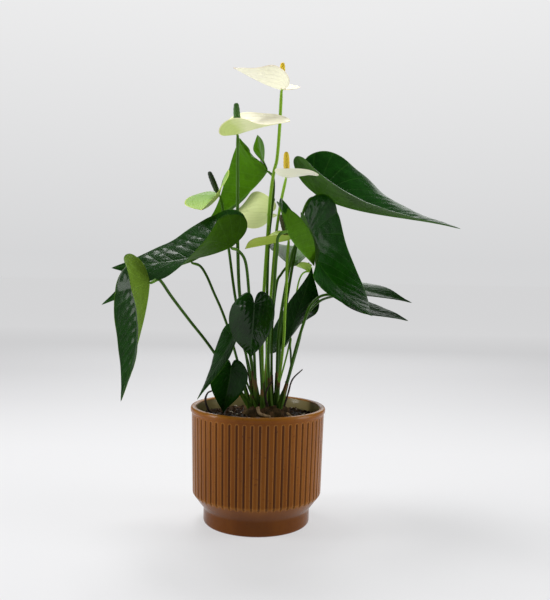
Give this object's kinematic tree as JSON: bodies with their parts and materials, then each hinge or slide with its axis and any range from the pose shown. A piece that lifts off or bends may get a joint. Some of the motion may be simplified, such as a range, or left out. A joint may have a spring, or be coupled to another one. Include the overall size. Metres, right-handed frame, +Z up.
{
  "type": "potted anthurium plant",
  "caption": "Anthurium with glossy heart-shaped leaves and white to green spathes on long bare stems, growing in a low cylindrical brown-glazed pot with vertical flutes.",
  "frame": {"origin": "middle of the pot's flat underside, on the surface that it stands on", "axes": "+Z up, +Y away from the side that the plant is seen from, +X to the right as seen from there"},
  "size_m": [0.3743, 0.2627, 0.476],
  "materials": {
    "glaze": "glossy amber-brown glaze",
    "soil": "matt bark-based potting mix",
    "dry_wood": "rough dry bark",
    "leaf": "glossy leathery leaf",
    "stem": "smooth green stem",
    "cream_spathe": "satin cream petal-like leaf",
    "green_spathe": "satin pale green petal-like leaf",
    "yellow_spadix": "matt, finely beaded",
    "green_spadix": "matt, finely beaded"
  },
  "bodies": {
    "root": {"crown": "dry_wood", "leaf_01": "leaf", "leaf_02": "leaf", "leaf_03": "leaf", "leaf_04": "leaf", "leaf_05": "leaf", "leaf_06": "leaf", "leaf_07": "leaf", "leaf_08": "leaf", "leaf_09": "leaf", "leaf_10": "leaf", "leaf_11": "leaf", "leaf_12": "leaf", "leaf_13": "leaf", "leaf_14": "leaf", "peduncle_1": "stem", "peduncle_2": "stem", "peduncle_3": "stem", "peduncle_4": "stem", "peduncle_5": "stem", "peduncle_6": "stem", "peduncle_7": "stem", "petiole_01": "stem", "petiole_02": "stem", "petiole_03": "stem", "petiole_04": "stem", "petiole_05": "stem", "petiole_06": "stem", "petiole_07": "stem", "petiole_08": "stem", "petiole_09": "stem", "petiole_10": "stem", "petiole_11": "stem", "petiole_12": "stem", "petiole_13": "stem", "petiole_14": "stem", "pot": "glaze", "root_1": "dry_wood", "root_2": "dry_wood", "root_3": "dry_wood", "soil": "soil", "spadix_1": "yellow_spadix", "spadix_2": "green_spadix", "spadix_3": "yellow_spadix", "spadix_4": "green_spadix", "spadix_5": "green_spadix", "spadix_6": "green_spadix", "spadix_7": "green_spadix", "spathe_1": "cream_spathe", "spathe_2": "cream_spathe", "spathe_3": "cream_spathe", "spathe_4": "green_spathe", "spathe_5": "green_spathe", "spathe_6": "green_spathe", "spathe_7": "green_spathe", "twig_1": "dry_wood", "twig_2": "dry_wood"}
  },
  "joints": []
}
